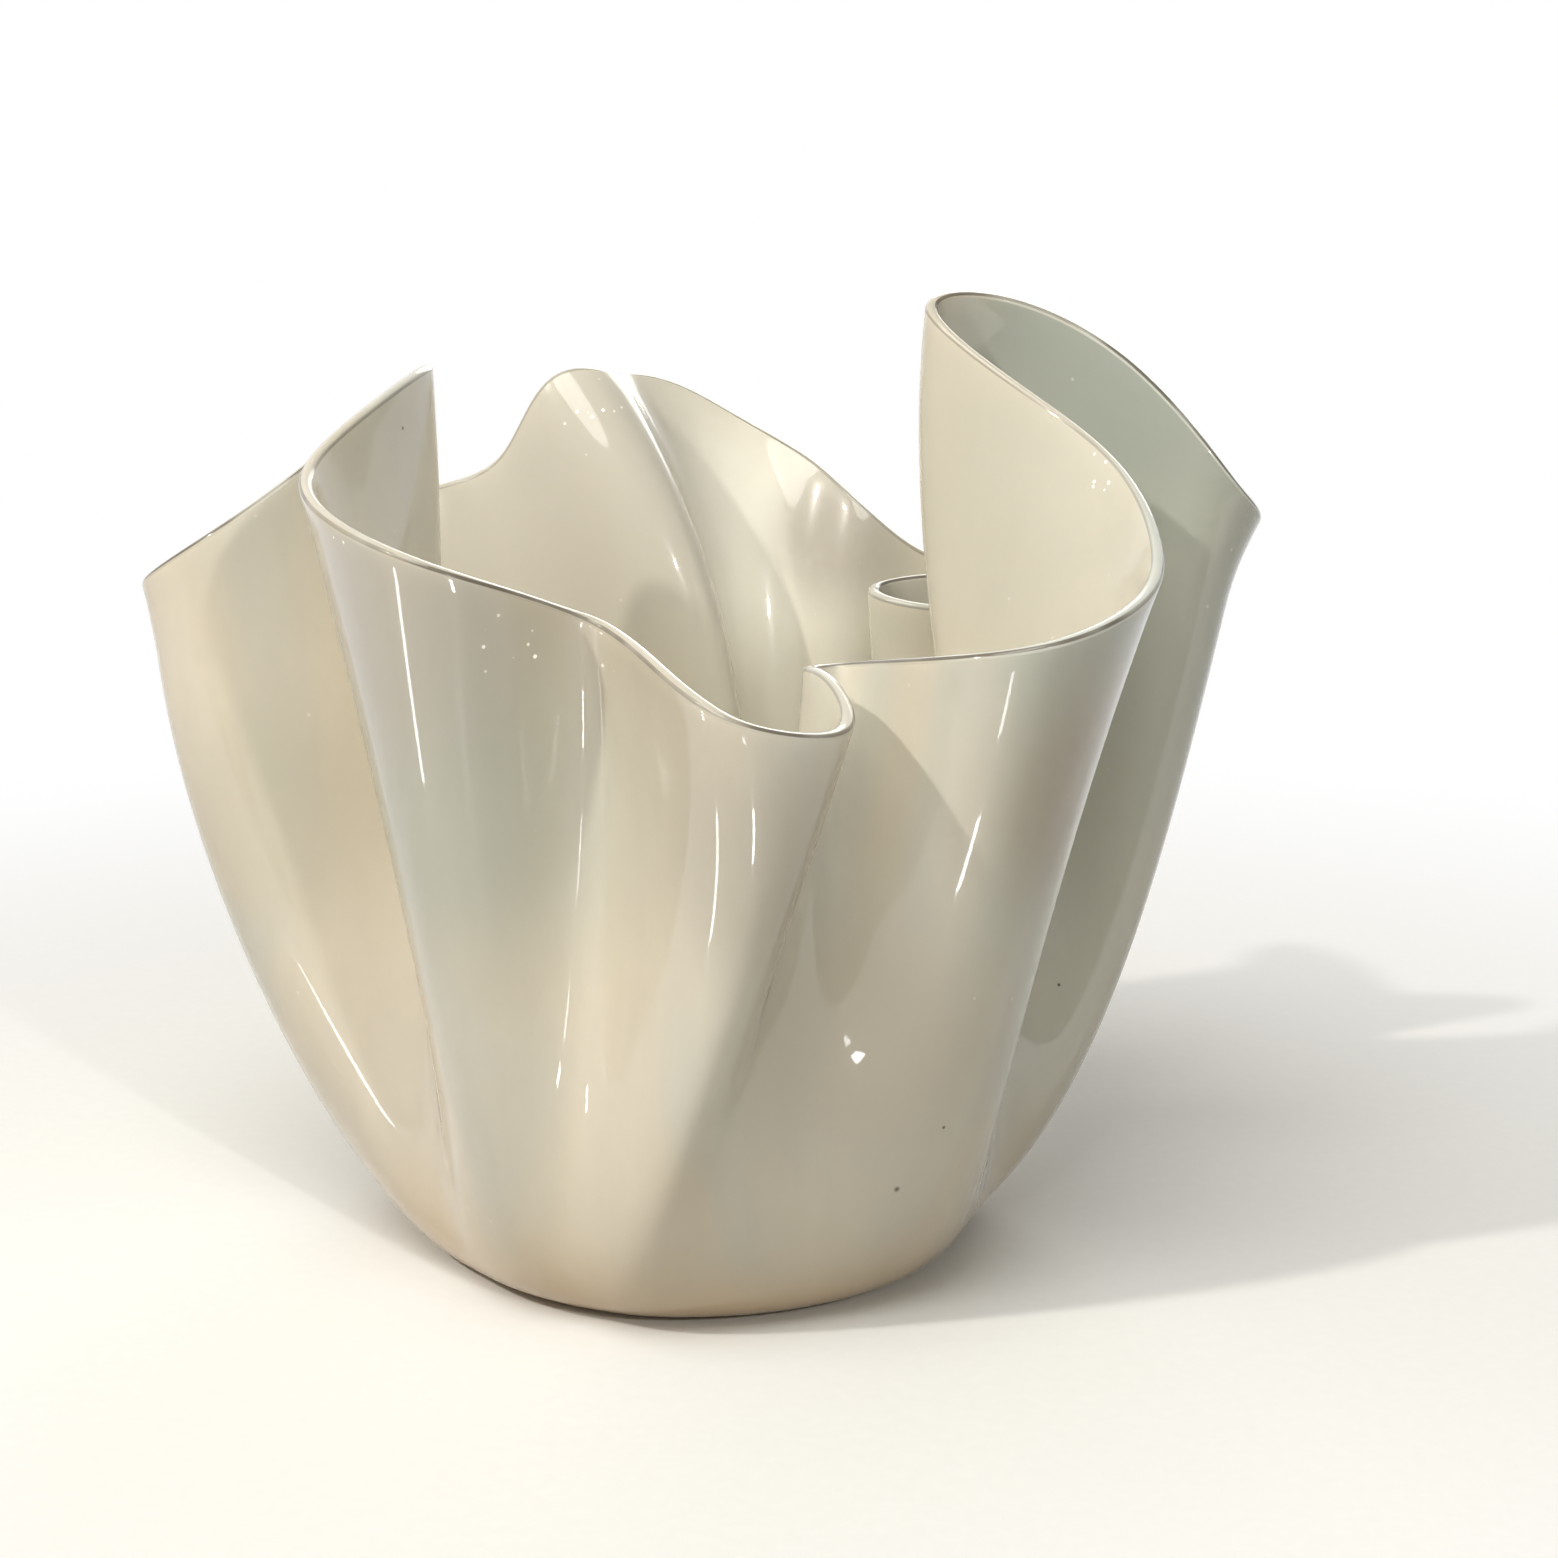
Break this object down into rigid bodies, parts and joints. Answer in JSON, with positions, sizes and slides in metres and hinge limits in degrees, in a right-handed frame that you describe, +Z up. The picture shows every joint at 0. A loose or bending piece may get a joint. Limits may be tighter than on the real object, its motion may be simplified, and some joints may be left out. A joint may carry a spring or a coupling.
{
  "type": "handkerchief vase",
  "caption": "Opal glass vase like a draped cloth: a round flat foot and a thin wall that opens into deep upright folds with an uneven waved rim.",
  "frame": {"origin": "middle of the round foot, on the surface that the vase stands on", "axes": "+Z up; -Y towards the front, the side of the narrow hook-shaped fold; +X to the right, towards the highest fold"},
  "size_m": [0.353, 0.2833, 0.2928],
  "materials": {
    "opal_glass": "gloss"
  },
  "bodies": {
    "root": {"vase": "opal_glass"}
  },
  "joints": []
}
